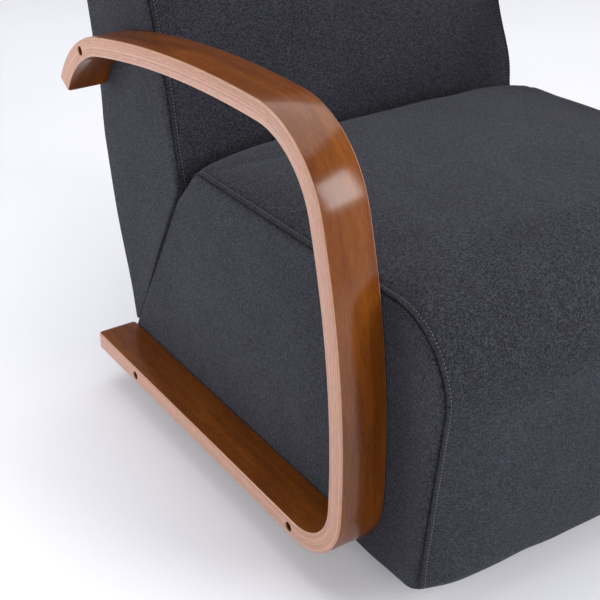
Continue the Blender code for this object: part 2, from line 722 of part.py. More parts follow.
def make_seat_frame(plate_holes, board_well, bolt_holes, back_bolt_holes):
    inset = COVER + TOUCH
    front, rear = shifted(SEAT_FRONT, inset), shifted(SEAT_REAR, inset)
    front_inner, rear_inner = shifted(front, PANEL), shifted(rear, PANEL)
    bottom = level(BOARD_RECESS)
    for side, sign in SIDES:
        outline = corners([bottom, front, level(FOAM_BOTTOM - TOUCH, 180), rear])
        low, high = sorted((sign * FRAME_HALF, sign * (FRAME_HALF - PANEL)))
        panel = board(f"seat_side_panel_{side}", outline, low, high)
        cut(panel, bolt_holes[side])
        finished(panel, "birch_plywood", seat_pivot)

    high = level(FRAME_TOP, 180)
    outline = corners([bottom, front, high, turned_back(front_inner)])
    finished(between("seat_front_panel", outline), "birch_plywood", seat_pivot)
    outline = corners([bottom, turned_back(rear_inner), high, rear])
    panel = between("seat_rear_panel", outline)
    cut(panel, back_bolt_holes)
    finished(panel, "birch_plywood", seat_pivot)

    front_stop, rear_stop = shifted(front_inner, TOUCH), shifted(rear_inner, TOUCH)
    outline = corners([bottom, front_stop, level(BOARD_TOP, 180), rear_stop])
    seat_board = between("seat_bottom_board", outline)
    for cutter in (plate_holes, board_well, bolt_holes["right"], bolt_holes["left"]):
        cut(seat_board, cutter)
    finished(seat_board, "birch_plywood", seat_pivot)

    low = level(FRAME_TOP - RAIL_HEIGHT)
    outline = corners([low, front_stop, high, turned_back(shifted(front_stop, RAIL_WIDTH))])
    finished(between("front_spring_rail", outline), "birch_plywood", seat_pivot)
    outline = corners([low, turned_back(shifted(rear_stop, RAIL_WIDTH)), high, rear_stop])
    finished(between("rear_spring_rail", outline), "birch_plywood", seat_pivot)

    front_hold = u_at(shifted(front_stop, RAIL_WIDTH / 2), FRAME_TOP)
    rear_hold = u_at(shifted(rear_stop, RAIL_WIDTH / 2), FRAME_TOP)
    make_springs(rear_hold, front_hold)
    make_clips(rear_hold, front_hold)

    dust_top = BOARD_RECESS - TOUCH
    outline = corners([level(dust_top - DUST_CLOTH), front, level(dust_top, 180), rear])
    dust = board("dust_cover", outline, -FRAME_HALF, FRAME_HALF)
    room = PLATE_RADIUS + DUST_HOLE_CLEARANCE
    hole = turned("dust_hole", [(0.0, BOARD_BOTTOM), (room, BOARD_BOTTOM), (room, 0.0), (0.0, 0.0)],
                  ROUND_STEPS, collection=cutters)
    cut(dust, as_cutter(hole))
    finished(dust, "dust_cloth", seat_pivot)


def make_springs(rear_hold, front_hold):
    # zigzag wires: straight rungs across, joined by half turns
    pitch = (front_hold - rear_hold) / (SPRING_RUNGS - 1)
    swing = SPRING_HALF_WIDTH - pitch / 2
    spacing = 2 * BETWEEN_PANELS / SPRING_COUNT
    for i in range(SPRING_COUNT):
        middle = (i - (SPRING_COUNT - 1) / 2) * spacing
        route = [(middle - swing, rear_hold)]
        for rung in range(SPRING_RUNGS - 1):
            way = 1 if rung % 2 == 0 else -1
            for degrees in (-90, -30, 30, 90):
                turn = math.radians(degrees)
                x = middle + way * (swing + pitch / 2 * math.cos(turn))
                route.append((x, rear_hold + pitch * (rung + 0.5) + pitch / 2 * math.sin(turn)))
        route.append((middle + swing * (-1) ** (SPRING_RUNGS - 1), front_hold))
        curve = bpy.data.curves.new(f"seat_spring_{i + 1}", "CURVE")
        curve.dimensions = "3D"
        curve.bevel_depth = SPRING_WIRE_RADIUS
        curve.bevel_resolution = 1
        curve.use_fill_caps = True
        spline = curve.splines.new("POLY")
        spline.points.add(len(route) - 1)
        for point, (x, u) in zip(spline.points, route):
            point.co = (*placed(x, Vector((u, SPRING_HEIGHT))), 1.0)
        finished(meshed(new_object(curve.name, curve)), "zinc_steel", seat_pivot)


def make_clips(rear_hold, front_hold):
    # bars that hold the springs' ends down, and the felt pad between them
    half = CLIP_WIDTH / 2
    low, high = level(CLIP_BOTTOM), level(CLIP_BOTTOM + CLIP_THICKNESS, 180)
    for name, hold in (("rear_clip_bar", rear_hold), ("front_clip_bar", front_hold)):
        outline = corners([low, upright(hold + half), high, turned_back(upright(hold - half))])
        finished(between(name, outline), "zinc_steel", seat_pivot)
    inside = half + TOUCH
    outline = corners([low, upright(front_hold - inside), high, turned_back(upright(rear_hold + inside))])
    finished(between("seat_felt_pad", outline), "grey_felt", seat_pivot)


def make_seat_cushion(bolt_holes, back_bolt_holes):
    cover = loft("seat_cover", SEAT_SECTIONS)
    below = -SEAT_BOARD
    sections = soft_sections(HALF - COVER, lambda tuck: seat_outline(COVER, below, 0), seat_swell)
    cut(cover, as_cutter(loft("seat_cover_room", sections, cutters)))
    for cutter in (bolt_holes["right"], bolt_holes["left"], back_bolt_holes):
        cut(cover, cutter)
    finished(cover, "charcoal_fabric", seat_pivot)
    inset = COVER + TOUCH
    sections = soft_sections(FRAME_HALF, lambda tuck: seat_outline(inset, FOAM_BOTTOM, 0), seat_swell)
    finished(loft("seat_foam", sections), "seat_foam", seat_pivot)


# Back frame, webbing and upholstery

def make_back(bolt_holes, back_bolt_holes):
    top = level(BACK_FRAME_TOP, 180)
    for side, sign in SIDES:
        outline = corners([BACK_SOLE, BACK_BOARD_FRONT, top, BACK_BOARD_REAR])
        low, high = sorted((sign * FRAME_HALF, sign * (FRAME_HALF - PANEL)))
        post = board(f"back_side_board_{side}", outline, low, high)
        cut(post, bolt_holes[side])
        finished(post, "birch_plywood", seat_pivot)

    outline = corners([BACK_SOLE, BACK_BOARD_FRONT, turned_back(shifted(BACK_SOLE, PANEL)), BACK_BOARD_REAR])
    lower = between("back_lower_board", outline)
    cut(lower, back_bolt_holes)
    finished(lower, "birch_plywood", seat_pivot)
    outline = corners([level(BACK_FRAME_TOP - BACK_RAIL_HEIGHT), BACK_BOARD_FRONT, top,
                       turned_back(shifted(BACK_BOARD_FRONT, PANEL))])
    finished(between("back_top_rail", outline), "birch_plywood", seat_pivot)
    outline = corners([BACK_SOLE, turned_back(HARDBOARD_FRONT), top, HARDBOARD_REAR])
    finished(board("back_hardboard", outline, -FRAME_HALF, FRAME_HALF), "hardboard", seat_pivot)

    pitch = (BACK_FRAME_TOP - LUMBAR_HEIGHT) / WEB_COUNT
    for i in range(WEB_COUNT):
        low = LUMBAR_HEIGHT + pitch * (i + 0.5) - WEB_WIDTH / 2
        outline = corners([level(low), WEB_FRONT, level(low + WEB_WIDTH, 180), turned_back(WEB_REAR)])
        strap = board(f"back_webbing_{i + 1}", outline, -FRAME_HALF, FRAME_HALF)
        finished(strap, "elastic_webbing", seat_pivot)

    cover = loft("back_cover", BACK_SECTIONS)
    sections = soft_sections(HALF - COVER, lambda tuck: back_outline(COVER, -PANEL), back_swell)
    cut(cover, as_cutter(loft("back_cover_room", sections, cutters)))
    for side, _ in SIDES:
        cut(cover, bolt_holes[side])
    finished(cover, "charcoal_fabric", seat_pivot)
    sections = soft_sections(FRAME_HALF, lambda tuck: back_foam_outline(COVER + TOUCH), back_swell)
    finished(loft("back_foam", sections), "seat_foam", seat_pivot)


def make_back_bolts():
    # from inside the seat, through its slanted rear and into the back's lower board
    spot = Vector((u_at(SEAT_REAR, BACK_BOLT_HEIGHT), BACK_BOLT_HEIGHT))
    _, down = SEAT_REAR
    inward = Vector((-down.y, down.x))
    seat = spot + inward * (COVER + PANEL + 2 * TOUCH)
    length = COVER + 2 * PANEL + 2 * TOUCH + BACK_GAP + BOLT_TAIL
    bolt = fastener_profile(BOLT_HEAD_RADIUS, BOLT_HEAD_HEIGHT, BOLT_RADIUS, length)
    room = hole_profile(BOLT_HEAD_RADIUS, 2 * BOLT_HEAD_HEIGHT, BOLT_RADIUS, length)
    holes = []
    for side, sign in SIDES:
        piece = turned(f"back_bolt_{side}", bolt, SMALL_STEPS)
        hole = turned("back_bolt_hole", room, SMALL_STEPS, collection=cutters)
        for obj in (piece, hole):
            obj.location = placed(sign * BACK_BOLT_SPREAD, seat)
            obj.rotation_euler.x = math.atan2(inward.x, inward.y)
        finished(piece, "black_oxide_steel", seat_pivot)
        holes.append(hole)
    return joined_cutter("back_bolt_holes", holes)


# Arms and their bolts

def arm_line():
    # middle line of the strip as (u, z, heading), from the runner's rear end at (0, 0)
    u, z, heading = RUNNER_LENGTH, 0.0, 0.0
    route = [(0.0, 0.0, 0.0), (u, z, heading)]
    bends = ((LOWER_BEND_RADIUS, LOWER_BEND_TURN), (UPRIGHT_BOW_RADIUS, UPRIGHT_BOW_TURN),
             (UPPER_BEND_RADIUS, UPPER_BEND_TURN), (ARMREST_BOW_RADIUS, ARMREST_BOW_TURN),
             (REAR_BEND_RADIUS, REAR_BEND_TURN))
    for radius, degrees in bends:
        steps = max(4, round(degrees / ARM_ARC_STEP))
        turn = math.radians(degrees) / steps
        for _ in range(steps):
            chord = 2 * radius * math.sin(turn / 2)
            u += chord * math.cos(heading + turn / 2)
            z += chord * math.sin(heading + turn / 2)
            heading += turn
            route.append((u, z, heading))
    return route


def arm_bolt_spots(route):
    # two on the runner, and one near the rear end of the armrest, ARM_BOLT_FROM_TIP from the tip
    u, z, heading = route[-1]
    radius = REAR_BEND_RADIUS
    centre = Vector((u - radius * math.sin(heading), z + radius * math.cos(heading)))
    start = heading - ARM_BOLT_FROM_TIP / radius
    rear = centre + Vector((radius * math.sin(start), -radius * math.cos(start)))
    return [Vector((place, 0.0)) for place in (RUNNER_BOLT_REAR, RUNNER_BOLT_FRONT)] + [rear]


def make_arm_bolts(spots):
    through = ARM_WIDTH - BOLT_RECESS + COVER + PANEL + 2 * TOUCH
    lengths = (through + TOUCH + BOLT_BITE, through + TOUCH + BOLT_BITE, through + BOLT_TAIL)
    cutter = {}
    for side, sign in SIDES:
        holes = []
        for i, (spot, length) in enumerate(zip(spots, lengths)):
            bolt = fastener_profile(BOLT_HEAD_RADIUS, BOLT_HEAD_HEIGHT, BOLT_RADIUS, length)
            room = hole_profile(BOLT_HEAD_RADIUS, 2 * BOLT_RECESS, BOLT_RADIUS, length)
            piece = turned(f"arm_bolt_{side}_{i + 1}", bolt, SMALL_STEPS)
            hole = turned("arm_bolt_hole", room, SMALL_STEPS, collection=cutters)
            for obj in (piece, hole):
                obj.location = placed(sign * (ARM_OUTER - BOLT_RECESS), spot)
                obj.rotation_euler.y = sign * math.pi / 2
            finished(piece, "black_oxide_steel", seat_pivot)
            holes.append(hole)
        cutter[side] = joined_cutter(f"arm_bolt_holes_{side}", holes)
    return cutter


def make_arms(route, bolt_holes):
    half = ARM_THICKNESS / 2
    outer = [Vector((u + half * math.sin(turn), z - half * math.cos(turn))) for u, z, turn in route]
    inner = [Vector((u - half * math.sin(turn), z + half * math.cos(turn))) for u, z, turn in route]
    for side, sign in SIDES:
        low, high = sorted((sign * ARM_INNER, sign * ARM_OUTER))
        arm = board(f"arm_{side}", outer + inner[::-1], low, high)
        edge = arm.modifiers.new("edge", "BEVEL")
        edge.width = ARM_EDGE
        edge.segments = 2
        edge.limit_method = "ANGLE"
        edge.angle_limit = math.radians(40)
        smooth(arm.data)
        cut(arm, bolt_holes[side])
        finished(arm, "stained_plywood", seat_pivot)


def main():
    # the arms stand so that their rear bolts meet the back's side boards and their runners the seat board
    route = arm_line()
    spots = arm_bolt_spots(route)
    rear = spots[-1]
    advance = u_at(BACK_BOARD_FRONT, BOARD_MIDDLE + rear.y) - ARM_BOLT_SETBACK - rear.x
    route = [(u + advance, z + BOARD_MIDDLE, turn) for u, z, turn in route]
    spots = [spot + Vector((advance, BOARD_MIDDLE)) for spot in spots]

    make_base()
    make_ball_ring()
    plate_holes, board_well = make_upper_plate()
    bolt_holes = make_arm_bolts(spots)
    back_bolt_holes = make_back_bolts()
    make_seat_frame(plate_holes, board_well, bolt_holes, back_bolt_holes)
    make_seat_cushion(bolt_holes, back_bolt_holes)
    make_back(bolt_holes, back_bolt_holes)
    make_arms(route, bolt_holes)


main()
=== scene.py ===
import bpy
import bmesh
import json
import math
from mathutils import Matrix, Vector, noise
from mathutils.bvhtree import BVHTree


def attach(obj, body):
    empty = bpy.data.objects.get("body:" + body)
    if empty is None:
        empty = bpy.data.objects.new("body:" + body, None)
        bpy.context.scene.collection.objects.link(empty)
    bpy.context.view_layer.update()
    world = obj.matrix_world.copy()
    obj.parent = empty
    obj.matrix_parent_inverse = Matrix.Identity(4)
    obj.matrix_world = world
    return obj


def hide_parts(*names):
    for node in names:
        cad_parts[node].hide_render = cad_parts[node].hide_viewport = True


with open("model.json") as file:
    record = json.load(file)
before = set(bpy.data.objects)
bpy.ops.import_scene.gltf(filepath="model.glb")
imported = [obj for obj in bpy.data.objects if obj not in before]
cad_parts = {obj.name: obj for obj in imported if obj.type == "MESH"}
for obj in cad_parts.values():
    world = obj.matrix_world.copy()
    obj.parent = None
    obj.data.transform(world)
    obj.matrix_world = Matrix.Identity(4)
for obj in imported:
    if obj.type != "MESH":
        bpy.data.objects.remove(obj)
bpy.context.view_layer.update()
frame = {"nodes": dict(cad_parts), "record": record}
scene = bpy.context.scene
print("frame loaded")

mm = 0.001

# side drawing: u runs forward from the seat's lower rear corner, z up from the seat's underside
drawing = {"axis": 0.2926, "underside": 0.0502}


def place(x, u, z):
    return Vector((x, drawing["axis"] - u, drawing["underside"] + z))


# materials

def linear(code, alpha=1.0):
    # sRGB hex to linear
    parts = [int(code[i:i + 2], 16) / 255 for i in (1, 3, 5)]
    return [c / 12.92 if c <= 0.04045 else ((c + 0.055) / 1.055) ** 2.4 for c in parts] + [alpha]


def add(tree, kind, inputs=None, stops=(), to=None, **settings):
    # one node with its settings and links; an input is a value or another node's socket
    node = tree.nodes.new("ShaderNode" + kind)
    for name, value in settings.items():
        setattr(node, name, value)
    for name, value in (inputs or {}).items():
        if isinstance(value, bpy.types.NodeSocket):
            tree.links.new(value, node.inputs[name])
        else:
            node.inputs[name].default_value = value
    for k, (spot, code) in enumerate(stops):
        points = node.color_ramp.elements
        point = points[k] if k < len(points) else points.new(spot)
        point.position, point.color = spot, linear(code)
    if to:
        tree.links.new(node.outputs[0], to)
    return node


def newMaterial(name):
    material = bpy.data.materials.new(name)
    material.use_nodes = True
    return material, material.node_tree, material.node_tree.nodes["Principled BSDF"]


def put(shader, **values):
    for name, value in values.items():
        shader.inputs[name.replace("_", " ")].default_value = value


# heathered upholstery weave: short floats of light and dark yarn side by side, so it reads as
# a speckled charcoal; raised fibres catch the light where the cloth turns away
# the last colour, near black, is painted shade for the seam grooves
weave = {
    "yarn": 1.0 * mm, "float": 1.8 * mm, "slub": 2.6 * mm, "depth": 0.6 * mm,
    "dark": "#202026", "middle": "#2f2f35", "light": "#44454d", "paintedSeamShadow": "#0b0b0d",
}


def makeFabric():
    material, tree, shader = newMaterial("heathered_charcoal_weave")
    uv = add(tree, "UVMap", uv_map="weave").outputs["UV"]
    # the real yarn is near 0.6 mm, drawn coarser so that it shows
    across, along = 1 / weave["yarn"], 1 / weave["float"]
    yarns = []
    for scale in ((across, along, 1), (along, across, 1)):
        spot = add(tree, "Mapping", {"Vector": uv, "Scale": scale}).outputs["Vector"]
        cells = {"Vector": spot, "Scale": 1.0, "Randomness": 0.9}
        yarns.append(add(tree, "TexVoronoi", cells, voronoi_dimensions="2D"))
    warp, weft = yarns
    patch = add(tree, "Mapping", {"Vector": uv, "Scale": (across / 2, across / 2, 1)}).outputs["Vector"]
    patches = {"Vector": patch, "Scale": 1.0, "Detail": 1.0}
    over = add(tree, "TexNoise", patches, noise_dimensions="2D").outputs["Fac"]
    over = add(tree, "MapRange", {"Value": over, 1: 0.46, 2: 0.54}).outputs["Result"]
    tones = [add(tree, "SeparateColor", {"Color": yarn.outputs["Color"]}).outputs["Red"] for yarn in yarns]
    tone = add(tree, "Mix", {0: over, 2: tones[0], 3: tones[1]}, data_type="FLOAT").outputs[0]
    broad = add(tree, "Mapping", {"Vector": uv, "Scale": (14, 9, 1)}).outputs["Vector"]
    clouds = {"Vector": broad, "Scale": 1.0, "Detail": 3.0}
    cloud = add(tree, "TexNoise", clouds, noise_dimensions="2D").outputs["Fac"]
    shade = add(tree, "MapRange", {"Value": cloud, 3: -0.12, 4: 0.12}).outputs["Result"]
    tone = add(tree, "Math", {0: tone, 1: shade}, operation="ADD").outputs["Value"]
    stops = ((0.1, weave["dark"]), (0.5, weave["middle"]), (0.9, weave["light"]))
    colour = add(tree, "ValToRGB", {"Fac": tone}, stops=stops).outputs["Color"]
    # painted shade: the seam grooves and the folds beside them are darkened in the base colour
    paintedSeamShade = add(tree, "Attribute", attribute_name="paintedSeamShade").outputs["Fac"]
    paintedSeamShadow = {"Factor": paintedSeamShade, 6: colour, 7: linear(weave["paintedSeamShadow"])}
    shaded = add(tree, "Mix", paintedSeamShadow, data_type="RGBA").outputs[2]
    tree.links.new(shaded, shader.inputs["Base Color"])
    put(shader, Roughness=0.95, IOR=1.45, Specular_IOR_Level=0.2)
    put(shader, Sheen_Weight=0.10, Sheen_Roughness=0.42, Sheen_Tint=linear("#e6ecfa"))
    depths = {0: over, 2: warp.outputs["Distance"], 3: weft.outputs["Distance"]}
    sunk = add(tree, "Mix", depths, data_type="FLOAT").outputs[0]
    knots = add(tree, "Mapping", {"Vector": uv, "Scale": [1 / weave["slub"]] * 3}).outputs["Vector"]
    slubs = {"Vector": knots, "Scale": 1.0, "Detail": 2.0}
    slub = add(tree, "TexNoise", slubs, noise_dimensions="2D").outputs["Fac"]
    rough = {"Height": slub, "Distance": weave["depth"], "Strength": 0.5}
    uneven = add(tree, "Bump", rough).outputs["Normal"]
    pressed = {"Height": sunk, "Normal": uneven, "Distance": weave["depth"], "Strength": 0.7}
    add(tree, "Bump", pressed, invert=True, to=shader.inputs["Normal"])
    return material


# bent beech laminate, stained and lacquered: brown flecked faces under a clear gloss, pale layered edges,
# and a pale line along the arrises, partly stain wearing thin and partly a painted highlight
# the arris colour is partly stain wearing thin and partly a painted highlight
laminate = {
    "ply": 1.8 * mm, "fleckLength": 11 * mm, "fleckWidth": 1.7 * mm,
    "figureLength": 160 * mm, "figureWidth": 22 * mm, "arris": "#d6a883", "arrisWidth": 0.9 * mm,
    "face": ("#552707", "#70390a", "#854910"), "edge": ("#a57761", "#b68872", "#c79c86"),
}


def makeLaminate(length, width, thickness):
    material, tree, shader = newMaterial("stained_beech_laminate")
    strip = add(tree, "Attribute", attribute_name="strip").outputs["Vector"]  # along, across, through
    fleckSize = (1 / laminate["fleckLength"], 1 / laminate["fleckWidth"], 1 / laminate["fleckWidth"])
    fleckMap = add(tree, "Mapping", {"Vector": strip, "Scale": fleckSize}).outputs["Vector"]
    flecks = {"Vector": fleckMap, "Scale": 1.0, "Detail": 4.0, "Roughness": 0.6}
    fleck = add(tree, "TexNoise", flecks).outputs["Fac"]
    figureSize = (1 / laminate["figureLength"], 1 / laminate["figureWidth"], 1 / laminate["figureWidth"])
    figureMap = add(tree, "Mapping", {"Vector": strip, "Scale": figureSize}).outputs["Vector"]
    figures = {"Vector": figureMap, "Scale": 1.0, "Detail": 3.0, "Distortion": 0.7}
    figure = add(tree, "TexNoise", figures).outputs["Fac"]
    grain = add(tree, "Mix", {0: 0.55, 2: fleck, 3: figure}, data_type="FLOAT").outputs[0]
    stops = zip((0.32, 0.50, 0.68), laminate["face"])
    face = add(tree, "ValToRGB", {"Fac": grain}, stops=stops).outputs["Color"]
    # layers seen on the edges
    plySize = (1 / 0.9, 0, 1 / laminate["ply"])
    plyMap = add(tree, "Mapping", {"Vector": strip, "Scale": plySize}).outputs["Vector"]
    layer = add(tree, "TexNoise", {"Vector": plyMap, "Scale": 1.0, "Detail": 1.0}).outputs["Fac"]
    wild = add(tree, "Mix", {0: 0.4, 2: layer, 3: fleck}, data_type="FLOAT").outputs[0]
    stops = zip((0.34, 0.50, 0.66), laminate["edge"])
    edge = add(tree, "ValToRGB", {"Fac": wild}, stops=stops).outputs["Color"]
    # how near each point is to the strip's sides, ends and faces
    parts = add(tree, "SeparateXYZ", {"Vector": strip}).outputs
    middle = add(tree, "Math", {0: parts["X"], 1: length / 2}, operation="SUBTRACT").outputs["Value"]
    near = []
    sizes = ((middle, length, 1.0 * mm), (parts["Y"], width, 1.0 * mm), (parts["Z"], thickness, 0.6 * mm))
    for distance, size, fade in sizes:
        reach = add(tree, "Math", {0: distance}, operation="ABSOLUTE").outputs["Value"]
        end = size / 2 - laminate["arrisWidth"]
        limits = {"Value": reach, 1: end - fade, 2: end}
        near.append(add(tree, "MapRange", limits).outputs["Result"])
    cutFace = add(tree, "Math", {0: near[0], 1: near[1]}, operation="MAXIMUM").outputs["Value"]
    colour = add(tree, "Mix", {"Factor": cutFace, 6: face, 7: edge}, data_type="RGBA").outputs[2]
    # pale line along the arrises: partly stain wearing thin, partly a painted highlight
    arrisWearAndHighlight = add(tree, "Math", {0: cutFace, 1: near[2]}, operation="MULTIPLY").outputs["Value"]
    arrisWearAndHighlight = add(tree, "Math", {0: arrisWearAndHighlight, 1: fleck}, operation="MULTIPLY").outputs["Value"]
    pale = {"Factor": arrisWearAndHighlight, 6: colour, 7: linear(laminate["arris"])}
    wornAndHighlit = add(tree, "Mix", pale, data_type="RGBA").outputs[2]
    tree.links.new(wornAndHighlit, shader.inputs["Base Color"])
    add(tree, "MapRange", {"Value": fleck, 3: 0.42, 4: 0.58}, to=shader.inputs["Roughness"])
    put(shader, IOR=1.5, Specular_IOR_Level=0.05, Coat_Weight=0.75, Coat_Roughness=0.18, Coat_IOR=1.5)
    add(tree, "Bump", {"Height": fleck, "Distance": 0.04 * mm, "Strength": 0.2}, to=shader.inputs["Normal"])
    return material


def makeTimber(name, codes, grain, flat):
    # sawn boards and sheets: long streaks in the object's own frame, matt
    material, tree, shader = newMaterial(name)
    spot = add(tree, "TexCoord").outputs["Object"]
    streak = add(tree, "Mapping", {"Vector": spot, "Scale": grain}).outputs["Vector"]
    streaks = {"Vector": streak, "Scale": 1.0, "Detail": 5.0, "Distortion": 0.4}
    lines = add(tree, "TexNoise", streaks).outputs["Fac"]
    stops = zip((0.30, 0.52, 0.74), codes)
    add(tree, "ValToRGB", {"Fac": lines}, stops=stops, to=shader.inputs["Base Color"])
    put(shader, Roughness=flat, IOR=1.5)
    add(tree, "Bump", {"Height": lines, "Distance": 0.2 * mm, "Strength": 0.4}, to=shader.inputs["Normal"])
    return material


def makeMetal(name, codes, shine, metallic):
    # plated or blackened steel: fine mottle from the bath, satin
    material, tree, shader = newMaterial(name)
    spot = add(tree, "TexCoord").outputs["Object"]
    bath = add(tree, "TexNoise", {"Vector": spot, "Scale": 1 / (6 * mm), "Detail": 3.0}).outputs["Fac"]
    add(tree, "ValToRGB", {"Fac": bath}, stops=zip((0.35, 0.65), codes), to=shader.inputs["Base Color"])
    add(tree, "MapRange", {"Value": bath, 3: shine - 0.06, 4: shine + 0.06}, to=shader.inputs["Roughness"])
    put(shader, Metallic=metallic)
    return material


def makeSoft(name, codes, grit, depth):
    # foam, felt, non-woven cloth and webbing: a fine open grain, fully matt
    material, tree, shader = newMaterial(name)
    spot = add(tree, "TexCoord").outputs["Object"]
    grains = {"Vector": spot, "Scale": 1 / grit, "Detail": 4.0, "Roughness": 0.7}
    cells = add(tree, "TexNoise", grains).outputs["Fac"]
    add(tree, "ValToRGB", {"Fac": cells}, stops=zip((0.35, 0.65), codes), to=shader.inputs["Base Color"])
    put(shader, Roughness=0.95, IOR=1.45)
    add(tree, "Bump", {"Height": cells, "Distance": depth, "Strength": 0.6}, to=shader.inputs["Normal"])
    return material


fabric = makeFabric()
thread = makeSoft("polyester_thread", ("#5c5d63", "#7f8086"), 0.5 * mm, 0.1 * mm)
birch = makeTimber("birch_plywood", ("#b18a5c", "#cfab7c", "#e0c59c"), (60, 6, 60), 0.65)
blackBoard = makeTimber("black_stained_plywood", ("#151516", "#222224", "#303032"), (70, 7, 70), 0.5)
hardboard = makeTimber("hardboard", ("#5d4230", "#76563e", "#8a6a50"), (240, 240, 240), 0.7)
zinc = makeMetal("zinc_plated_steel", ("#a9acb1", "#c9ccd0"), 0.34, 1.0)
blackOxide = makeMetal("black_oxide_steel", ("#1b1b1d", "#2a2a2c"), 0.42, 1.0)
nylon = makeMetal("black_nylon", ("#161617", "#232325"), 0.5, 0.0)
foam = makeSoft("polyurethane_foam", ("#d9cca6", "#eee4c6"), 2 * mm, 0.5 * mm)
felt = makeSoft("needled_felt", ("#6a6a66", "#868682"), 1 * mm, 0.3 * mm)
dustCloth = makeSoft("non_woven_cloth", ("#121213", "#232325"), 1.4 * mm, 0.2 * mm)
webbing = makeSoft("elastic_webbing", ("#2a2a2a", "#444444"), 1.5 * mm, 0.3 * mm)
print("materials made")


# meshes

def pieceFrom(bm, name, material, body, smooth=40.0):
    mesh = bpy.data.meshes.new(name)
    bm.to_mesh(mesh)
    bm.free()
    mesh.shade_smooth()
    if smooth:
        mesh.set_sharp_from_angle(angle=math.radians(smooth))
    mesh.materials.append(material)
    piece = bpy.data.objects.new(name, mesh)
    scene.collection.objects.link(piece)
    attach(piece, body)
    return piece


def evaluated(obj):
    bpy.context.view_layer.update()
    return bpy.data.meshes.new_from_object(obj.evaluated_get(bpy.context.evaluated_depsgraph_get()))


# side outlines

def roundedRuns(corners, radii, runs, gather=1.0):
    # arcs at the corners, then points along each run, which goes from one corner's middle to another's;
    # they are spaced evenly, or gathered towards the first corner
    points, marks = [], []
    for i, corner in enumerate(corners):
        here = Vector(corner)
        before = (Vector(corners[i - 1]) - here).normalized()
        after = (Vector(corners[(i + 1) % len(corners)]) - here).normalized()
        half = before.angle(after) / 2
        start = here + before * radii[i] / math.tan(half)
        centre = here + (before + after).normalized() * radii[i] / math.sin(half)
        sweep, steps = math.pi - 2 * half, 24
        marks.append(len(points) + steps // 2)
        turns = [Matrix.Rotation(sweep * k / steps, 2) for k in range(steps + 1)]
        points += [centre + turn @ (start - centre) for turn in turns]
    outline = []
    for number, (first, last, count, *_) in enumerate(runs):
        end = marks[last] if marks[last] > marks[first] else marks[last] + len(points)
        run = [points[k % len(points)] for k in range(marks[first], end + 1)]
        lengths = [0.0]
        for a, b in zip(run, run[1:]):
            lengths.append(lengths[-1] + (b - a).length)
        k = 0
        for n in range(count):
            share = n / count
            if number == 0:
                share = share ** gather
            elif number == len(runs) - 1:
                share = 1 - (1 - share) ** gather
            want = lengths[-1] * share
            while lengths[k + 1] < want:
                k += 1
            outline.append(run[k].lerp(run[k + 1], (want - lengths[k]) / (lengths[k + 1] - lengths[k])))
    return outline


def inwardNormals(outline):
    found = []
    for i in range(len(outline)):
        way = (outline[(i + 1) % len(outline)] - outline[i - 1]).normalized()
        found.append(Vector((-way.y, way.x)))
    return found


def ease(share):
    share = min(1.0, max(0.0, share))
    return share * share * (3 - 2 * share)


# edge of a cover, from the side panel over the folded seam to the topstitch:
# (in from the side, out from the outline, how much painted shade)
seamed = {
    "half": 0.280,
    "side": ((0.5, -13.0, 0.0), (1.0, -8.5, 0.0), (2.0, -5.6, 0.0), (3.6, -3.8, 0.1), (5.2, -3.1, 0.6)),
    "seam": (6.6, -2.7, 1.0),
    "fold": ((5.4, -2.1, 0.8), (4.7, -1.4, 0.5), (4.7, -0.7, 0.3), (5.3, -0.1, 0.25), (6.6, 0.2, 0.2),
             (8.0, 0.2, 0.2), (9.2, 0.0, 0.35)),
    "stitch": (10.2, -0.8, 0.65),
    "panel": ((11.3, 0.0, 0.2), (13.5, 0.3, 0.0), (18.0, 0.2, 0.0)),
    "pitch": 10.0,
}
seamed["edge"] = seamed["side"] + (seamed["seam"],) + seamed["fold"] + (seamed["stitch"],) + seamed["panel"]


def coverStations():
    # x of each column where the seam is folded and where the cover lies flat, with its height and painted
    # shade
    edge = seamed["edge"]
    first, last = edge[0][0], edge[-1][0]
    flat = [first + (last - first) * k / (len(edge) - 1) for k in range(len(edge))]
    half = seamed["half"]
    rows = [(a * mm - half, f * mm - half, h * mm, dark) for (a, h, dark), f in zip(edge, flat)]
    inner = rows[-1][0]
    count = round(-inner / (seamed["pitch"] * mm))
    rows += [(inner * (1 - k / count), inner * (1 - k / count), 0.0, 0.0) for k in range(1, count)]
    return rows + [(0.0, 0.0, 0.0, 0.0)] + [(-x, -f, h, dark) for x, f, h, dark in rows[::-1]]


seamColumn = len(seamed["side"])
stitchColumn = seamColumn + len(seamed["fold"]) + 1
edgeColumns = stitchColumn + 1


def foldShares(runs):
    # how far the seam is folded along the outline: a run goes from one share to another over its first part
    shares = []
    for _, _, count, begin, stay, part in runs:
        shares += [begin + (stay - begin) * ease(k / count / part) for k in range(count)]
    total = len(shares)
    return [sum(shares[(i + d) % total] for d in (-2, -1, 0, 1, 2)) / 5 for i in range(total)]


def ringAt(bm, column):
    along, over = bm.verts.layers.int["along"], bm.verts.layers.int["over"]
    ring = {v[along]: v for v in bm.verts if v[over] == column + 1}
    return [ring[i] for i in sorted(ring)]


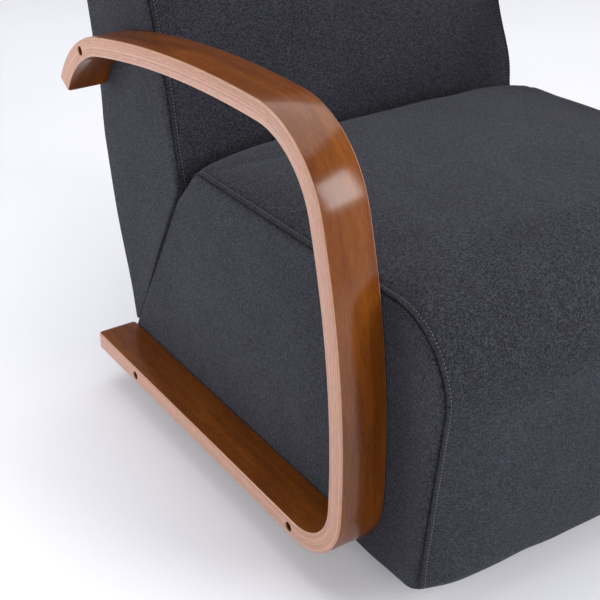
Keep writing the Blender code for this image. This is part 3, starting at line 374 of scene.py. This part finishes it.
def makeCover(outline, runs, swell):
    # a flat grid rolled round the outline, its open ends filled with the side panels
    stations = coverStations()
    normals = inwardNormals(outline)
    shares = foldShares(runs)
    total, across = len(outline), len(stations)
    run = [0.0]
    for i in range(total):
        run.append(run[-1] + (outline[(i + 1) % total] - outline[i]).length)
    bm = bmesh.new()
    bmesh.ops.create_grid(bm, x_segments=total, y_segments=across - 1, size=0.5)
    uv = bm.loops.layers.uv.new("weave")
    along, over = bm.verts.layers.int.new("along"), bm.verts.layers.int.new("over")
    paintedSeamShade = bm.verts.layers.float.new("paintedSeamShade")
    spots = {}
    for v in bm.verts:
        i, j = round((v.co.x + 0.5) * total), round((v.co.y + 0.5) * (across - 1))
        v[along], v[over] = i % total, j + 1
        folded, flat, out, dark = stations[j]
        fold = shares[i % total]
        x = flat + (folded - flat) * fold
        # painted shade along the seam, stronger where the seam is folded
        v[paintedSeamShade] = dark * fold
        spot = outline[i % total] - normals[i % total] * out * fold
        spots[v] = (i, j, x, swell(spot, x))
    for face in bm.faces:
        columns = [spots[v][1] for v in face.verts]
        onSide = max(columns) <= seamColumn or min(columns) >= across - 1 - seamColumn
        for loop in face.loops:
            i, j, x, spot = spots[loop.vert]
            loop[uv].uv = spot if onSide else (x, run[i])
    for v, (i, j, x, spot) in spots.items():
        v.co = place(x, spot.x, spot.y)
    bmesh.ops.remove_doubles(bm, verts=bm.verts, dist=1e-5)
    for column in (0, across - 1):
        ring = ringAt(bm, column)
        edges = []
        at = 0
        for number, (_, _, count, *_) in enumerate(runs):
            if number % 2 == 0:
                span = [ring[(at + k) % total] for k in range(count + 1)]
                edges += [bm.edges.get((a, b)) for a, b in zip(span, span[1:])]
            at += count
        made = bmesh.ops.grid_fill(bm, edges=edges, use_interp_simple=True)
        for face in made["faces"]:
            for loop in face.loops:
                co = loop.vert.co
                loop[uv].uv = (drawing["axis"] - co.y, co.z - drawing["underside"])
    bmesh.ops.recalc_face_normals(bm, faces=bm.faces)
    return bm


def inflate(piece, pinned, look):
    # pressed out from inside like foam under its cover, and held at the seams
    rest = [v.co.copy() for v in piece.data.vertices]
    group = piece.vertex_groups.new(name="held")
    group.add(pinned, 1.0, "REPLACE")
    cloth = piece.modifiers.new("cloth", "CLOTH")
    cloth.settings.quality = 6
    cloth.settings.mass = 0.25
    cloth.settings.tension_stiffness = look["tension"]
    cloth.settings.compression_stiffness = look["tension"]
    cloth.settings.shear_stiffness = look["tension"] / 2
    cloth.settings.bending_stiffness = look["bending"]
    cloth.settings.use_pressure = True
    cloth.settings.uniform_pressure_force = look["pressure"]
    cloth.settings.vertex_group_mass = "held"
    cloth.settings.effector_weights.gravity = 0.0
    cloth.settings.shrink_min = look["shrink"]
    cloth.collision_settings.use_collision = False
    cloth.point_cache.frame_start = 1
    cloth.point_cache.frame_end = 20
    for number in range(1, 21):
        scene.frame_set(number)
    pressed = evaluated(piece)
    piece.modifiers.remove(cloth)
    piece.vertex_groups.remove(group)
    moves = []
    for vertex, before, after in zip(piece.data.vertices, rest, pressed.vertices):
        move = after.co - before
        moves.append(move.length)
        if move.length > look["cap"]:
            move *= look["cap"] / move.length
        vertex.co = before + move
    bpy.data.meshes.remove(pressed)
    scene.frame_set(1)
    print(piece.name, "pressed out by up to", round(max(moves) / mm, 1), "mm")


def finishCover(bm, name, look, isHeld, settle):
    over = bm.verts.layers.int["over"]
    bm.verts.index_update()
    columns = len(coverStations())
    edge = set(range(1, edgeColumns + 1)) | set(range(columns - edgeColumns + 1, columns + 1))
    pinned = [v.index for v in bm.verts if v[over] in edge or isHeld(v.co)]
    piece = pieceFrom(bm, name, fabric, "seat", smooth=None)
    inflate(piece, pinned, look)
    limit = seamed["half"] - 0.4 * mm
    for vertex in piece.data.vertices:
        vertex.co.x = max(-limit, min(limit, vertex.co.x))
        vertex.co = settle(vertex.co.copy())
    subdivision = piece.modifiers.new("subdivision", "SUBSURF")
    subdivision.levels = 1
    subdivision.render_levels = 1
    return piece


def ringPoints(piece, column):
    # the ring's points in order, from the finished piece
    mesh = piece.data
    along, over = mesh.attributes["along"].data, mesh.attributes["over"].data
    ring = {along[v.index].value: v.co.copy() for v in mesh.vertices if over[v.index].value == column + 1}
    return [ring[i] for i in sorted(ring)]


def stitchLines(piece, runs):
    # on both sides, along the second and third runs
    lines = []
    for column in (stitchColumn, len(coverStations()) - 1 - stitchColumn):
        start = runs[0][2]
        count = runs[1][2] + runs[2][2]
        lines.append(ringPoints(piece, column)[start:start + count + 1])
    return lines


# topstitch: one long stitch after another, each partly sunk
stitch = {"length": 2.9 * mm, "gap": 1.5 * mm, "radius": 0.5 * mm, "lift": 0.2 * mm}


def makeStitches(name, piece, lines):
    bpy.context.view_layer.update()
    surface = BVHTree.FromObject(piece, bpy.context.evaluated_depsgraph_get())
    bm = bmesh.new()
    for points in lines:
        done = 0.0
        for a, b in zip(points, points[1:]):
            step = (b - a).length
            while done < step:
                spot, normal, _, _ = surface.find_nearest(a.lerp(b, done / step))
                way = (b - a).normalized()
                side = normal.cross(way).normalized()
                turn = Matrix((side, way.cross(side), way)).transposed().to_4x4()
                size = Matrix.Diagonal((stitch["radius"], stitch["radius"], stitch["length"] / 2, 1.0))
                spot = Matrix.Translation(spot + normal * stitch["lift"])
                spot = spot @ turn @ size
                bmesh.ops.create_uvsphere(bm, u_segments=6, v_segments=4, radius=1.0, matrix=spot)
                done += stitch["length"] + stitch["gap"]
            done -= step
    bmesh.ops.recalc_face_normals(bm, faces=bm.faces)
    pieceFrom(bm, name, thread, "seat", smooth=None)


# seat
seat = {
    "corners": ((0.0, 0.0), (0.682, 0.0), (0.7252, 0.3510), (0.2115, 0.3402), (0.1622, 0.281)),
    "radii": (0.003, 0.012, 0.090, 0.035, 0.025),
    # corner to corner, points, seam fold at the run's start and after its first part
    "runs": ((0, 1, 62, 0.3, 0.04, 0.05), (1, 2, 36, 0.3, 1, 0.1), (2, 3, 62, 1, 1, 1),
             (3, 0, 36, 1, 0.04, 0.2)),
    "crown": 0.021, "domePower": 3.0, "puff": 6.5 * mm, "puffMore": 10 * mm, "puffReach": 8 * mm,
    "middle": 0.45, "span": 0.23, "front": 0.004, "fade": 0.100, "noseBottom": 0.281, "noseTop": 0.340,
    "hemFront": 0.011, "hemSag": 5 * mm, "hemWave": 3.2 * mm, "hemHeight": 0.05,
    "slant": 30.0, "recess": 3.4 * mm, "belly": 4 * mm,
    "press": {"tension": 25.0, "bending": 0.6, "pressure": 4.0, "shrink": 0.0, "cap": 5 * mm},
}


def seatSwell(spot, x):
    # the top is puffed up from its stitched edges and domed between them
    rise = ease((spot.y - seat["noseBottom"]) / (seat["noseTop"] - seat["noseBottom"]))
    push = ease((spot.x - seat["corners"][1][0] + seat["fade"]) / seat["fade"])
    inside = max(0.0, seamed["half"] - abs(x) - seamed["stitch"][0] * mm)
    fuller = seat["puffMore"] * max(0.0, 1 - ((spot.x - seat["middle"]) / seat["span"]) ** 2)
    puff = (seat["puff"] + fuller) * (1 - math.exp(-inside / seat["puffReach"]))
    dome = 1 - abs(x / seamed["half"]) ** seat["domePower"]
    # the front stands out more towards its hem, which hangs between rounded corners
    hem = (1 - ease(spot.y / 0.25)) * (1 - abs(x / seamed["half"]) ** 8) * push
    sag = (1 - ease(spot.y / 0.06)) * hem
    out = seat["front"] * dome * push + seat["hemFront"] * hem
    return spot + Vector((out, (puff + seat["crown"] * dome) * rise - seat["hemSag"] * sag))


def seatHeld(co):
    u, z = drawing["axis"] - co.y, co.z - drawing["underside"]
    onRear = z * math.tan(math.radians(seat["slant"])) - u > -6 * mm
    return z < 10 * mm or (onRear and z < seat["noseBottom"])


def seatSettle(co):
    u, z = drawing["axis"] - co.y, co.z - drawing["underside"]
    # the hem waves a little, except at the rear
    low = (1 - ease(z / seat["hemHeight"])) * ease((u - 0.05) / 0.2)
    co.z += low * seat["hemWave"] * noise.noise(Vector((co.x / 0.05, co.y / 0.06, 3.0)))
    # the underside is let in for the board
    inside = min(seamed["half"] - abs(co.x), u, seat["corners"][1][0] - u)
    if z < 4 * mm:
        co.z += seat["recess"] * ease((inside - 10 * mm) / (6 * mm))
    co.z += 0.5 * mm * ease(z / 0.2) * noise.noise(Vector((co.x / 0.07, co.y / 0.07, 8.0)))
    # the sides belly out where the arm leaves them free
    belly = ease((u - 0.12) / 0.15) * ease((0.575 - u) / 0.12) * ease((z - 0.03) / 0.12)
    co.x += math.copysign(seat["belly"] * belly * ease((abs(co.x) - 0.18) / 0.1), co.x)
    return co


outline = roundedRuns(seat["corners"], seat["radii"], seat["runs"])
seatGrid = makeCover(outline, seat["runs"], seatSwell)
seatCover = finishCover(seatGrid, "seat_upholstery", seat["press"], seatHeld, seatSettle)
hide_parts("seat_cover", "seat_foam")
makeStitches("seat_topstitch", seatCover, stitchLines(seatCover, seat["runs"]))
print("seat made")


# back
back = {
    "corners": ((0.0133, 0.0228), (0.1717, 0.2972), (0.1657, 0.36), (0.0028, 0.82), (-0.1396, 0.82)),
    "radii": (0.005, 0.012, 0.25, 0.045, 0.045), "gather": 1.5,
    "runs": ((0, 1, 18, 0.04, 0.04, 1), (1, 3, 56, 0.3, 1, 0.1), (3, 4, 18, 1, 1, 1),
             (4, 0, 56, 1, 0.12, 0.15)),
    "front": 0.008, "rear": 0.003, "crown": 0.004, "fade": 0.120, "depth": 0.06,
    "frontLean": 19.5, "rearLean": 10.91, "frameTop": 0.7612, "belly": 5 * mm,
    "press": {"tension": 25.0, "bending": 0.6, "pressure": 4.0, "shrink": 0.0, "cap": 5 * mm},
}


def backSwell(spot, x):
    u, z = spot
    share = 1 - abs(x / seamed["half"]) ** 2.5
    tip, lumbar, bend = back["corners"][:3]
    frontLine = bend[0] - (z - bend[1]) * math.tan(math.radians(back["frontLean"]))
    rearLine = tip[0] - (z - tip[1]) * math.tan(math.radians(back["rearLean"]))
    front = min(1.0, max(0.0, 1 - (frontLine - u) / back["depth"])) * ease((z - lumbar[1]) / back["fade"])
    rear = min(1.0, max(0.0, 1 - (u - rearLine) / (6 * mm))) * ease((z - tip[1]) / back["fade"])
    rise = ease((z - back["frameTop"]) / (back["corners"][3][1] - back["frameTop"]))
    return spot + share * Vector((back["front"] * front - back["rear"] * rear, back["crown"] * rise))


def backHeld(co):
    u, z = drawing["axis"] - co.y, co.z - drawing["underside"]
    onSole = u - z * math.tan(math.radians(seat["slant"])) > -8 * mm
    return z < 0.05 or (onSole and z < back["corners"][1][1])


def backSettle(co):
    u, z = drawing["axis"] - co.y, co.z - drawing["underside"]
    co.y += 0.5 * mm * noise.noise(Vector((co.x / 0.08, co.z / 0.08, 5.0)))
    # the sides belly out below the arm's end
    under = 0.38 + 0.06 * ease(u / 0.08)
    belly = ease((z - 0.06) / 0.15) * ease((under - z) / 0.08)
    co.x += math.copysign(back["belly"] * belly * ease((abs(co.x) - 0.18) / 0.1), co.x)
    return co


outline = roundedRuns(back["corners"], back["radii"], back["runs"], back["gather"])
backGrid = makeCover(outline, back["runs"], backSwell)
backCover = finishCover(backGrid, "back_upholstery", back["press"], backHeld, backSettle)
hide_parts("back_cover", "back_foam")
makeStitches("back_topstitch", backCover, stitchLines(backCover, back["runs"]))
print("back made")


# arms: a straight bar with its bolt holes, then bent along the strip's middle line
arm = {
    "width": 0.060, "thickness": 0.025, "edge": 2.5 * mm, "tipRound": 6.5 * mm, "inner": 0.2803,
    "start": (0.00797, 0.0127), "runner": 0.522,
    "bends": ((0.081, 86.8), (1.014, 19.7), (0.114, 73.1), (1.708, 13.1), (0.166, 49.3)),
    "bolts": (0.117, 0.511), "boltFromTip": 0.094, "hole": 6.2 * mm, "holeDepth": 0.030, "loops": 250,
}
arm["length"] = arm["runner"] + sum(radius * math.radians(turn) for radius, turn in arm["bends"])


def alongArm(s):
    # place and heading of the middle line at s from the runner's rear end
    u, z = arm["start"]
    if s <= arm["runner"]:
        return u + s, z, 0.0
    u, s, heading = u + arm["runner"], s - arm["runner"], 0.0
    for radius, degrees in arm["bends"]:
        turn = min(s / radius, math.radians(degrees))
        chord = 2 * radius * math.sin(turn / 2)
        u, z = u + chord * math.cos(heading + turn / 2), z + chord * math.sin(heading + turn / 2)
        heading += turn
        s -= radius * turn
        if s < 1e-9:
            break
    return u + s * math.cos(heading), z + s * math.sin(heading), heading


def makeArm(name, node, sign):
    bm = bmesh.new()
    bmesh.ops.create_cube(bm, size=1.0)
    bmesh.ops.scale(bm, vec=(arm["length"], arm["width"], arm["thickness"]), verts=bm.verts)
    bmesh.ops.translate(bm, vec=(arm["length"] / 2, 0, 0), verts=bm.verts)
    rounding = {"offset_type": "OFFSET", "affect": "EDGES", "profile": 0.5, "material": -1}
    upright = [e for e in bm.edges if abs(e.verts[0].co.z - e.verts[1].co.z) > arm["thickness"] / 2]
    bmesh.ops.bevel(bm, geom=upright, offset=arm["tipRound"], segments=6, **rounding)
    sharp = [e for e in bm.edges if e.calc_face_angle() > math.radians(60)]
    bmesh.ops.bevel(bm, geom=sharp, offset=arm["edge"], segments=3, **rounding)
    bar = pieceFrom(bm, name + "_bar", laminateFinish, "seat")
    bm = bmesh.new()
    hole = {"radius1": arm["hole"], "radius2": arm["hole"], "depth": 2 * arm["holeDepth"]}
    for s in arm["bolts"] + (arm["length"] - arm["boltFromTip"],):
        middle = Matrix.Translation((s, arm["width"] / 2, 0)) @ Matrix.Rotation(math.pi / 2, 4, "X")
        bmesh.ops.create_cone(bm, cap_ends=True, segments=32, matrix=middle, **hole)
    cutter = pieceFrom(bm, name + "_drill", laminateFinish, "seat")
    drill = bar.modifiers.new("drill", "BOOLEAN")
    drill.solver = "EXACT"
    drill.object = cutter
    bm = bmesh.new()
    bm.from_mesh(evaluated(bar))
    for spare in (bar, cutter):
        bpy.data.objects.remove(spare, do_unlink=True)
    for k in range(1, arm["loops"]):
        geometry = bm.verts[:] + bm.edges[:] + bm.faces[:]
        at = (arm["length"] * k / arm["loops"], 0, 0)
        bmesh.ops.bisect_plane(bm, geom=geometry, dist=1e-6, plane_co=at, plane_no=(1, 0, 0))
    strip = bm.verts.layers.float_vector.new("strip")
    for v in bm.verts:
        s, across, through = v.co
        v[strip] = v.co
        u, z, heading = alongArm(s)
        x = sign * (arm["inner"] + arm["width"] / 2 + across)
        v.co = place(x, u - through * math.sin(heading), z + through * math.cos(heading))
    bmesh.ops.recalc_face_normals(bm, faces=bm.faces)
    piece = pieceFrom(bm, name, laminateFinish, "seat", smooth=35.0)
    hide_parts(node)


laminateFinish = makeLaminate(arm["length"], arm["width"], arm["thickness"])
makeArm("right_arm", "arm_right", -1)
makeArm("left_arm", "arm_left", 1)
print("arms made")


# base and glides, turned
base = {
    "radius": 0.250, "bottom": 0.0103, "top": 0.0383, "edge": 5 * mm,
    "glideCircle": 0.215, "glideRadius": 0.016, "glideHeight": 0.010, "glideEdge": 3.5 * mm,
}


def spunProfile(profile, steps):
    bm = bmesh.new()
    verts = [bm.verts.new((radius, 0, z)) for radius, z in profile]
    edges = [bm.edges.new(pair) for pair in zip(verts, verts[1:])]
    turn = {"cent": (0, 0, 0), "axis": (0, 0, 1), "angle": 2 * math.pi}
    bmesh.ops.spin(bm, geom=verts + edges, steps=steps, use_merge=True, **turn)
    bmesh.ops.remove_doubles(bm, verts=bm.verts, dist=1e-6)
    return bm


def turnedPiece(name, profile, steps, material, body, spot=(0, 0, 0)):
    bm = spunProfile(profile, steps)
    bmesh.ops.recalc_face_normals(bm, faces=bm.faces)
    bmesh.ops.translate(bm, vec=spot, verts=bm.verts)
    return pieceFrom(bm, name, material, body, smooth=35.0)


def roundedRim(radius, bottom, top, edge, steps=5):
    # from the axis below, round both corners, to the axis above
    profile = [(0.0, bottom)]
    for start, height in ((-90, bottom + edge), (0, top - edge)):
        for k in range(steps + 1):
            turn = math.radians(start + 90 * k / steps)
            profile.append((radius - edge + edge * math.cos(turn), height + edge * math.sin(turn)))
    return profile + [(0.0, top)]


boardProfile = roundedRim(base["radius"], base["bottom"], base["top"], base["edge"])
board = turnedPiece("round_base", boardProfile, 128, blackBoard, "base")
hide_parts("base_board")
for k in range(6):
    turn = math.radians(90 + 60 * k)
    spot = (base["glideCircle"] * math.cos(turn), base["glideCircle"] * math.sin(turn), 0)
    profile = roundedRim(base["glideRadius"], 0.0, base["glideHeight"], base["glideEdge"])
    glide = turnedPiece(f"glide_{k + 1}", profile, 40, nylon, "base", spot)
    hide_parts(f"floor_glide_{k + 1}")
print("base made")


# dust cover: non-woven cloth stapled under the seat, with a round opening for the swivel
dust = {
    "half": 0.2725, "front": 0.6755, "rear": 0.010, "hole": 0.154, "height": 2.9 * mm,
    "thickness": 0.6 * mm, "droop": 0.5 * mm,
}


def makeDustCover():
    bm = bmesh.new()
    bmesh.ops.create_grid(bm, x_segments=64, y_segments=80, size=0.5)
    middle, length = (dust["front"] + dust["rear"]) / 2, dust["front"] - dust["rear"]
    for v in bm.verts:
        v.co = place(v.co.x * 2 * dust["half"], middle + v.co.y * length, dust["height"])
    inside = [f for f in bm.faces if f.calc_center_median().xy.length < dust["hole"]]
    bmesh.ops.delete(bm, geom=inside, context="FACES")
    for v in bm.verts:
        reach = v.co.xy.length
        if v.is_boundary and reach < dust["hole"] + 0.02:
            v.co.xy *= dust["hole"] / reach
        droop = ease((reach - dust["hole"]) / 0.03) * ease((dust["half"] - abs(v.co.x)) / 0.03)
        v.co.z += dust["droop"] * droop * noise.noise(Vector((v.co.x / 0.06, v.co.y / 0.05, 1.0)))
    area = sum(f.calc_area() for f in bm.faces)
    bmesh.ops.recalc_face_normals(bm, faces=bm.faces)
    piece = pieceFrom(bm, "under_cloth", dustCloth, "seat", smooth=None)
    wall = piece.modifiers.new("wall", "SOLIDIFY")
    wall.thickness = dust["thickness"]
    wall.offset = 0.0
    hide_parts("dust_cover")


makeDustCover()
print("dust cover made")


# finishes of the frame pieces that stay as they are
finishes = {
    "birch_plywood": birch, "zinc_steel": zinc, "black_steel": blackOxide, "nylon": nylon, "foam": foam,
    "felt": felt, "webbing": webbing, "hardboard": hardboard, "black_board": blackBoard,
    "dust_cloth": dustCloth, "stained_plywood": laminateFinish, "charcoal_fabric": fabric,
}
for part in frame["record"]["subparts"]:
    mesh = frame["nodes"][part["node"]].data
    mesh.materials.clear()
    mesh.materials.append(finishes[part["material_slot"]])


# room, light and camera
room = {
    "radius": 6.0, "cove": 1.2, "height": 2.2, "pale": ("#eeeef4", "#f3f3f8"),
    "near": 0.4, "far": 3.0, "liftNear": 0.12, "liftFar": 0.24,
}


def makeRoom():
    # painted floor that curves up into a low backdrop all round
    material, tree, shader = newMaterial("pale_painted_floor")
    spot = add(tree, "TexCoord").outputs["Object"]
    cloud = add(tree, "TexNoise", {"Vector": spot, "Scale": 1.5, "Detail": 2.0}).outputs["Fac"]
    tone = add(tree, "ValToRGB", {"Fac": cloud}, stops=zip((0.3, 0.7), room["pale"])).outputs["Color"]
    tree.links.new(tone, shader.inputs["Base Color"])
    put(shader, Roughness=0.6, Specular_IOR_Level=0.2)
    # lifted towards white for the eye and in reflections only
    rays = add(tree, "LightPath").outputs
    direct = {0: rays["Is Camera Ray"], 1: rays["Is Glossy Ray"]}
    direct = add(tree, "Math", direct, operation="MAXIMUM").outputs["Value"]
    shown = {0: direct, 1: rays["Is Transmission Ray"]}
    shown = add(tree, "Math", shown, operation="MAXIMUM").outputs["Value"]
    away = add(tree, "VectorMath", {0: spot}, operation="LENGTH").outputs["Value"]
    fade = {"Value": away, 1: room["near"], 2: room["far"], 3: room["liftNear"], 4: room["liftFar"]}
    lift = add(tree, "MapRange", fade).outputs["Result"]
    tree.links.new(tone, shader.inputs["Emission Color"])
    add(tree, "Math", {0: shown, 1: lift}, operation="MULTIPLY", to=shader.inputs["Emission Strength"])
    profile = [(0.0, 0.0)]
    inner = room["radius"] - room["cove"]
    for k in range(13):
        turn = math.radians(90 * k / 12)
        profile.append((inner + room["cove"] * math.sin(turn), room["cove"] * (1 - math.cos(turn))))
    profile.append((room["radius"], room["height"]))
    bm = spunProfile(profile, 96)
    mesh = bpy.data.meshes.new("floor")
    bm.to_mesh(mesh)
    bm.free()
    mesh.shade_smooth()
    mesh.materials.append(material)
    floor = bpy.data.objects.new("floor", mesh)
    scene.collection.objects.link(floor)


def addSoftbox(name, spot, aim, size, power):
    lamp = bpy.data.lights.new(name, "AREA")
    lamp.shape = "RECTANGLE"
    lamp.size, lamp.size_y = size
    lamp.energy = power
    box = bpy.data.objects.new(name, lamp)
    box.location = spot
    box.rotation_euler = (Vector(aim) - Vector(spot)).to_track_quat("-Z", "Y").to_euler()
    scene.collection.objects.link(box)


makeRoom()
# the window's reflection crosses the arm's bend
addSoftbox("window_softbox", (1.18, -2.53, 1.67), (-0.31, -0.4, 0.47), (1.35, 1.3), 50)
addSoftbox("overhead_softbox", (0.4, 0.5, 3.0), (0, 0, 0.3), (3.2, 3.2), 64)
addSoftbox("left_softbox", (-1.6, 0.7, 0.55), (-0.28, 0.1, 0.3), (1.0, 0.7), 13)
addSoftbox("front_softbox", (-1.5, -1.9, 1.35), (-0.1, -0.2, 0.3), (1.6, 1.4), 11)

world = bpy.data.worlds.new("studio")
scene.world = world
world.use_nodes = True
put(world.node_tree.nodes["Background"], Color=linear("#f4f4fa"), Strength=0.30)

view = {"spot": (-0.9913, -1.2414, 1.0522), "pitch": 60.5, "yaw": -33.33, "lens": 78.18}
lens = bpy.data.cameras.new("camera")
lens.lens = view["lens"]
lens.sensor_width = 36
camera = bpy.data.objects.new("camera", lens)
camera.location = view["spot"]
camera.rotation_euler = (math.radians(view["pitch"]), 0, math.radians(view["yaw"]))
scene.collection.objects.link(camera)
scene.camera = camera
scene.view_settings.view_transform = "Standard"
print("stage set")
